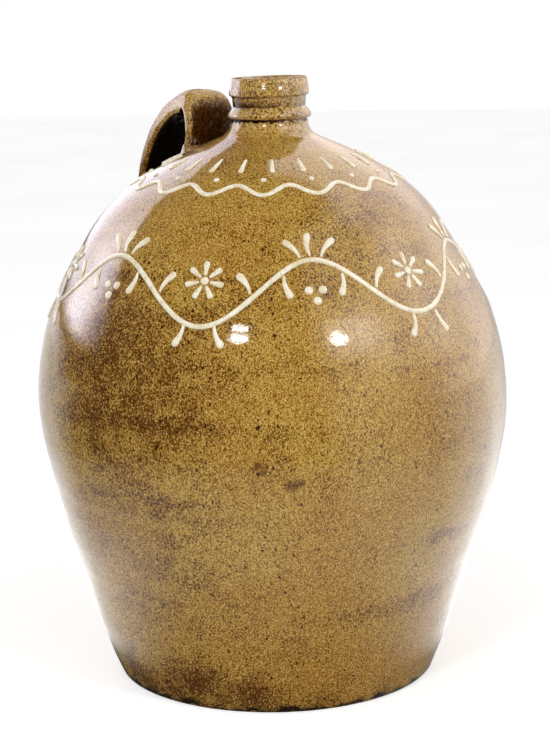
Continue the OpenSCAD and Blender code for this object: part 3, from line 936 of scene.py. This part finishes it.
# Smoky dimples where ash dripped, as bearing, height and reach in mm
SMUDGES = [
    (-3.5, 166, 7), (-2.2, 163, 5), (4, 154, 9), (6, 155, 6), (1, 169, 3), (168, 210, 8), (-120, 96, 7),
]


# A glassy skin over a dull ground
GLOSS = {
    "IOR": 1.5, "Specular IOR Level": 0.03, "Coat Weight": 1.0, "Coat Roughness": 0.06, "Coat IOR": 1.5,
}


def iron_share(f):
    """How much iron the glaze took: clouds, marked patches, wavering streaks and the throwing's bands."""
    iron = f.spread(f.grain(12, 4, 0.6, f.stretched((1, 1, 1.8), (7, 2, 4))), 0.25, 0.75, -0.2, 0.2)
    for bearing, height, reach, amount in IRON_PATCHES:
        patch = f.near(wall_spot(bearing, height), reach * MM)
        iron = f.fused(patch, amount, iron)
    turn = f.bearing(f.place)
    wavy = f.fused(f.grain(9, 2), STREAK_WAVER * MM, f.height())
    for bearing, height, amount in STREAKS:
        away = f.away_from(wavy, (height + STREAK_WAVER / 2) * MM)
        streak = f.spread(away, 0, STREAK_REACH * MM, amount, 0)
        iron = f.plus(f.times(streak, f.spread(f.away_from(turn, bearing), 8, 32, 1, 0)), iron)
    bands = f.grain(3, 2, 0.5, f.stretched((1, 1, 26), (1, 8, 2)))
    iron = f.fused(f.spread(bands, 0.52, 0.8), 0.3, iron)
    return f.fused(f.spread(f.grain(75, 3, 0.6), 0.3, 0.7, -0.5, 0.5), 0.36, iron)


def grained(f, colour, iron):
    """A colour under the glaze's grain: straw and rust, iron mottle, the worn neck and specks of soot."""
    high = f.spread(f.height(), JUG_H - 38 * MM, JUG_H - 28 * MM)
    iron = f.fused(high, 0.14, iron)
    colour = f.blend(f.times(high, 0.5), colour, STRAW)
    straw = f.spread(f.grain(1300, 2, 0.6), 0.45, 0.6, 0, 0.9)
    colour = f.blend(straw, colour, STRAW)
    rust = f.spread(f.grain(1100, 2, 0.6, f.stretched((1, 1, 0.8), (2, 9, 5))), 0.48, 0.58, 0, 0.85)
    colour = f.blend(rust, colour, RUST)
    mottle = f.fused(iron, 0.2, f.grain(850, 3, 0.65, f.stretched((1, 1, 0.75))))
    colour = f.blend(f.times(f.spread(mottle, 0.57, 0.61), 0.9), colour, IRON)
    worn = f.times(high, f.spread(f.grain(420, 3, 0.6), 0.5, 0.64, 0, 0.4))
    colour = f.blend(worn, colour, PALE_CLAY)
    small = f.speckles(400, 0.17, f.fused(iron, 0.6, 0.17))
    large = f.speckles(210, 0.13, f.fused(iron, 0.45, 0.12))
    return f.blend(f.times(f.sum("MAXIMUM", small, large), 0.96), colour, SOOT)


def smoked(f, colour):
    """A colour with the smoky dimples over it."""
    smoke = 0.0
    for bearing, height, reach in SMUDGES:
        smoke = f.sum("MAXIMUM", smoke, f.near(wall_spot(bearing, height), reach * MM))
    smoke = f.spread(f.times(smoke, f.grain(500, 2)), 0.12, 0.5, 0, 0.8)
    return f.blend(smoke, colour, IRON)


def painted_shading(f, colour):
    """A colour under ragged painted shade, brown and then black, where the points carry it."""
    ragged = f.fused(f.grain(480, 4, 0.75), 1.1, f.plus(f.attribute("painted_shade"), -0.08))
    colour = f.blend(f.spread(ragged, 0.62, 1.0, 0, 0.95), colour, IRON)
    return f.blend(f.spread(ragged, 0.95, 1.3), colour, COAL)


def bared(f, colour):
    """A colour with clay at the foot, in the torn patch and on the lip, and how dry the surface is."""
    height = f.height()
    foot = f.plus(height, f.spread(f.grain(90, 3), 0.3, 0.7, -3 * MM, 3 * MM))
    # The lowest few millimetres of the foot go near black
    dark_foot_band = f.spread(foot, 1 * MM, 7 * MM, 0.95, 0)
    colour = f.blend(dark_foot_band, colour, COAL)
    bare = f.spread(foot, -1.2 * MM, -0.6 * MM, 1, 0)
    colour = f.blend(bare, colour, CLAY)
    strands = f.spread(f.grain(420, 3, 0.6, f.stretched((1, 1, 0.3))), 0.42, 0.56)
    torn = f.times(f.spread(f.near(TORN_CLAY, 16 * MM), 0.1, 0.5), strands)
    colour = f.blend(torn, colour, PALE_CLAY)
    lip = f.spread(height, JUG_H - 1.6 * MM, JUG_H - 0.6 * MM)
    colour = f.blend(f.times(lip, f.spread(f.grain(260, 2), 0.4, 0.6)), colour, CLAY)
    patchy = f.times(f.attribute("dull"), f.spread(f.grain(300, 3), 0.3, 0.5, 0.8, 1))
    return colour, f.sum("MAXIMUM", patchy, f.sum("MAXIMUM", bare, f.times(lip, 0.7)))


def speckled_glaze(name):
    """The jug's mustard ash glaze, grained all over with iron, with painted shade in the neck's hollows and
    on the strap.
    """
    f = Finish(name, **GLOSS)
    cloud = f.spread(f.grain(14, 4, 0.6), 0.38, 0.64)
    colour = f.blend(cloud, MUSTARD, HONEY)
    iron = iron_share(f)
    colour = f.blend(f.spread(iron, 0, 0.65, 0, 0.8), colour, RUST)
    colour = painted_shading(f, smoked(f, grained(f, colour, iron)))
    colour, dry = bared(f, colour)
    rough = f.sum("MAXIMUM", dry, f.spread(f.grain(90, 3), 0.3, 0.8, 0.3, 0.5))
    swell = f.relief(f.grain(90, 3, 0.5), 0.25 * MM, 0.45)
    peel = f.relief(f.grain(430, 3, 0.6), 0.06 * MM, 0.6, swell)
    glassy = f.sum("SUBTRACT", 1.0, dry)
    return f.finish(Base_Color=colour, Roughness=rough, Coat_Weight=glassy, Normal=peel, Coat_Normal=peel)


def cream_slip(name):
    """White slip under a thin glaze: creamy, glossy, and tan where it lies thin."""
    f = Finish(name, Roughness=0.12, IOR=1.5)
    cloud = f.spread(f.grain(170, 3, 0.6), 0.4, 0.75, 0, 0.8)
    colour = f.blend(cloud, CREAM, CREAM_THIN)
    fine = f.spread(f.grain(800, 3, 0.7), 0.56, 0.7)
    colour = f.blend(f.times(fine, 0.5), colour, IRON)
    peel = f.relief(f.grain(420, 2, 0.5), 0.1 * MM, 0.6)
    return f.finish(Base_Color=colour, Normal=peel)


def white_walls(f, turn, climb):
    """How bright the white studio walls are: full behind the jug, weaker on its right, none in front."""
    right = f.plus(f.spread(turn, 18, 40, 0, 1.1), f.spread(turn, 74, 102, 0, 1.45))
    far = f.times(f.spread(turn, 120, 162, 0, 1.8), f.spread(climb, 5, 25, 1, 0.25))
    right = f.sum("SUBTRACT", right, far)
    slanting = f.spread(f.fused(climb, 0.8, turn), -140, -114, 1.2, 0)
    left = f.times(slanting, f.spread(climb, 14, 24, 1, 0))
    return f.plus(right, left)


# The floor's look, but to the camera and in the glaze
PAPER = {
    "Base Color": (0.78, 0.78, 0.78, 1), "Roughness": 0.9, "Specular IOR Level": 0, "Emission Color": WHITE,
}
FLOOR_R = 6


def studio_floor():
    """A pale floor that keeps the jug's shadow, bright to the camera and lit in patches in the glaze."""
    bm = bmesh.new()
    bmesh.ops.create_circle(bm, cap_ends=True, segments=64, radius=FLOOR_R)
    floor = stood("studio_floor", mesh_of("studio_floor", bm))
    f = Finish("studio_floor", **PAPER)
    path = f.node("ShaderNodeLightPath").outputs
    paper = f.spread(f.grain(3, 2), 0, 1, 0.54, 0.6)
    f.finish(Emission_Strength=f.times(path["Is Camera Ray"], paper))

    turn = f.bearing(f.place)
    away = f.node("ShaderNodeVectorMath", {0: f.place}, operation="LENGTH").outputs["Value"]
    # In the glaze the floor is painted: a painted shadow of the jug close round its foot, painted light out
    # to about 0.3 m that fades further off, brighter to the sides, and the walls' light beyond
    lit = f.sum("MINIMUM", f.spread(away, 0.11, 0.26, 0.05, 0.85), f.spread(away, 0.3, 0.6, 0.75, 0.05))
    beside = f.times(f.spread(f.away_from(turn, 0), 35, 75), f.spread(away, 0.11, 0.14))
    beside = f.times(beside, f.spread(away, 0.17, 0.36, 1, 0))
    walls = f.times(white_walls(f, turn, -20), f.spread(away, 0.1, 0.6, 0.15, 0.75))
    mirrored = f.plus(f.plus(lit, beside), walls)
    shine = f.node("ShaderNodeEmission", {"Strength": mirrored}).outputs[0]
    surface = f.surface.outputs[0]
    both = f.node("ShaderNodeMixShader", {0: path["Is Glossy Ray"], 1: surface, 2: shine}).outputs[0]
    f.links.new(both, f.nodes["Material Output"].inputs["Surface"])
    floor.data.materials.append(f.material)


def studio_world():
    """White to the camera; in the glaze, white walls behind the jug and a dim room in front."""
    world = bpy.data.worlds.new("studio")
    bpy.context.scene.world = world
    world.use_nodes = True
    f = Shader(world.node_tree)
    way = f.node("ShaderNodeTexCoord").outputs["Generated"]
    turn, climb = f.bearing(way), f.elevation(way)
    walls = f.times(white_walls(f, turn, climb), f.spread(climb, 58, 72, 1.12, 0))
    glow = f.times(f.spread(f.away_from(turn, 78), 20, 40, 1.4, 0), f.spread(climb, 5, 18))
    glow = f.times(glow, f.spread(climb, 34, 46, 1, 0))
    halo = f.spread(f.away_from(turn, 48), 4, 26, 4, 0)
    halo = f.times(halo, f.spread(f.away_from(climb, 31), 3, 15, 1, 0))
    mirrored = f.plus(f.plus(walls, f.plus(halo, glow)), 0.03)
    path = f.node("ShaderNodeLightPath").outputs
    sky = f.times(f.spread(turn, 0, 100, 0.62, 0.4), f.spread(climb, 20, 80, 1, 0.78))
    level = f.blend_value(path["Is Glossy Ray"], sky, mirrored)
    tint = f.blend(f.spread(turn, -60, 60), LAVENDER, ROSE)
    tint = f.blend(path["Is Glossy Ray"], WHITE, tint)
    tint = f.blend(path["Is Camera Ray"], tint, WHITE)
    seen = f.blend_value(path["Is Camera Ray"], level, 1.0)
    back = f.nodes["Background"]
    f.links.new(tint, back.inputs["Color"])
    f.links.new(seen, back.inputs["Strength"])


# The left screen's distance, bearings, lower edge and, by shares of its turn, upper edge
SCREEN_AWAY = 0.5
SCREEN_FROM = -84
SCREEN_TURN = -94
SCREEN_FOOT = 0.26
SCREEN_SHARES = [0, 0.057, 0.263, 0.628, 0.777, 1]
SCREEN_TOPS = [0.4, 0.438, 0.654, 0.84, 0.76, 0.71]
SCREEN_LOOK = {"Base Color": (0, 0, 0, 1), "Roughness": 0.9, "Emission Color": LAVENDER}


def left_screen():
    """A tall white screen close behind the jug's left, which only the glaze mirrors."""
    bm = bmesh.new()
    bmesh.ops.create_grid(bm, x_segments=30, y_segments=1, size=0.5)
    for v in bm.verts:
        share = v.co.x + 0.5
        level = SCREEN_FOOT if v.co.y < 0 else between(share, SCREEN_SHARES, SCREEN_TOPS)
        v.co = towards(CAMERA_BEARING + SCREEN_FROM + SCREEN_TURN * share) * SCREEN_AWAY
        v.co.z = level
    screen = stood("left_screen", mesh_of("left_screen", bm))
    for kind in ("camera", "diffuse", "shadow", "transmission", "volume_scatter"):
        setattr(screen, "visible_" + kind, False)
    f = Finish("left_screen", **SCREEN_LOOK)
    turn = f.bearing(f.place)
    hot = f.sum("MINIMUM", f.spread(turn, -130, -109, 0, 4.7), f.spread(turn, -106, -92, 4.7, 0))
    hot = f.times(hot, f.spread(f.height(), 0.34, 0.75, 1, 0.22))
    level = f.plus(hot, f.spread(turn, -94, -86, 2.6, 0.9))
    edges = f.times(f.spread(f.height(), 0.27, 0.33), f.spread(turn, -177, -157))
    level = f.times(level, edges)
    screen.data.materials.append(f.finish(Emission_Strength=level))


# The point on the jug's shoulder that the lamps face, towards each of them and up
AIM_AWAY = 0.13
AIM_H = 0.25


def softbox(name, bearing, away, height, size, radiance, mirrored):
    """A square lamp by its bearing, distance and height; only the glaze mirrors it, or it only lights."""
    data = bpy.data.lights.new(name, "AREA")
    data.shape = "RECTANGLE"
    data.size, data.size_y = size
    data.energy = radiance * pi * size[0] * size[1]
    lamp = stood(name, data)
    way = towards(CAMERA_BEARING + bearing)
    stand = way * away + Vector((0, 0, height))
    facing = stand - way * AIM_AWAY - Vector((0, 0, AIM_H))
    lamp.matrix_world = Matrix.Translation(stand) @ facing.to_track_quat("Z", "Y").to_matrix().to_4x4()
    lamp.visible_camera = False
    lamp.visible_glossy = mirrored
    lamp.visible_diffuse = not mirrored


def studio_camera():
    """The camera of the photograph: just above the shoulder, tipped down, with a slight roll."""
    data = bpy.data.cameras.new("studio_camera")
    data.sensor_width = SENSOR
    data.lens = SENSOR * CAMERA_FOCUS_PX / PHOTO_H_PX
    camera = stood("studio_camera", data)
    stand = towards(CAMERA_BEARING) * CAMERA_AWAY + Vector((0, 0, CAMERA_H))
    look = towards(CAMERA_BEARING + 180, -degrees(CAMERA_PITCH))
    up = VIEW_RIGHT.cross(look)
    yaw = (PHOTO_W_PX / 2 - AXIS_X_PX) / CAMERA_FOCUS_PX
    look = (look + VIEW_RIGHT * yaw).normalized()
    right = look.cross(up).normalized()
    rolled_right = right * cos(CAMERA_ROLL) - up * sin(CAMERA_ROLL)
    rolled_up = up * cos(CAMERA_ROLL) + right * sin(CAMERA_ROLL)
    turn = Matrix((rolled_right, rolled_up, -look)).transposed().to_4x4()
    camera.matrix_world = Matrix.Translation(stand) @ turn
    bpy.context.scene.camera = camera


glaze = speckled_glaze("speckled_glaze")
slip = cream_slip("cream_slip")

lower_section(glaze)
upper_section(glaze)
ringed_neck(glaze)
pulled_strap(glaze)
pressed_clay("inner_pressed_clay", "inner_foot_wad", 0, glaze)
pressed_clay("outer_pressed_clay", "outer_foot_wad", STRAP_LAST, glaze)
trailed_rays(slip)
trailed_ripple(slip)
trailed_vine(slip)

studio_floor()
studio_world()
left_screen()
# Each lamp by bearing from the camera's side, distance, height, size and radiance; mirrored ones don't light
softbox("left_lamp", -17, 1.59, 1.43, (0.32, 0.29), 27, False)
softbox("right_lamp", 37.3, 1.71, 1.25, (0.37, 0.37), 21, False)
softbox("left_pane_high", -14.5, 0.489, 0.534, (0.074, 0.028), 27, True)
softbox("left_pane_low", -14.5, 0.489, 0.474, (0.074, 0.039), 27, True)
softbox("right_pane_wide", 33.2, 0.57, 0.495, (0.08, 0.042), 21, True)
softbox("right_pane_tall", 33.2, 0.57, 0.495, (0.046, 0.088), 21, True)
studio_camera()

bpy.context.scene.view_settings.view_transform = "Standard"
